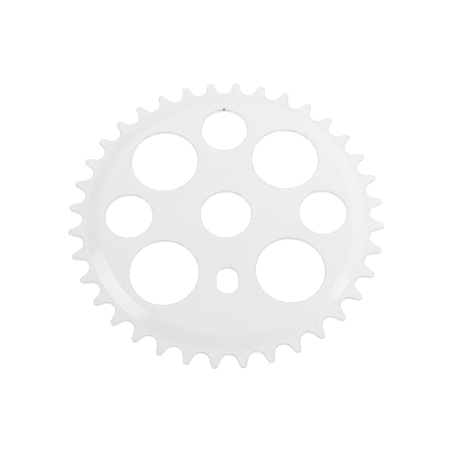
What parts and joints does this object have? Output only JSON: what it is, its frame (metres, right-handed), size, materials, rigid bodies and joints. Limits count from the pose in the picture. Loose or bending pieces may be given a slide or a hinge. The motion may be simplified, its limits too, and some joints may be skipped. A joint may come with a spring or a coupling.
{
  "type": "bicycle chain sprocket",
  "caption": "Flat dished steel chain sprocket for a one-piece bicycle crank: plain centre bore, drive-pin slot, round lightening holes and a set-back toothed rim.",
  "frame": {"origin": "centre of the centre bore, halfway through the flat middle disc", "axes": "+Z is the sprocket's own axis and points out of its front face, the side towards which the middle disc stands proud of the toothed rim; -Y runs from the bore to the drive-pin slot; +X completes a right-handed frame. The part lies flat, front face up, on the back of its toothed rim."},
  "size_m": [0.1504, 0.1504, 0.0046],
  "materials": {
    "white_coat": "smooth gloss white powder coat over stamped steel, thin and slightly worn on the edges"
  },
  "bodies": {
    "root": {"sprocket_plate": "white_coat"}
  },
  "joints": []
}
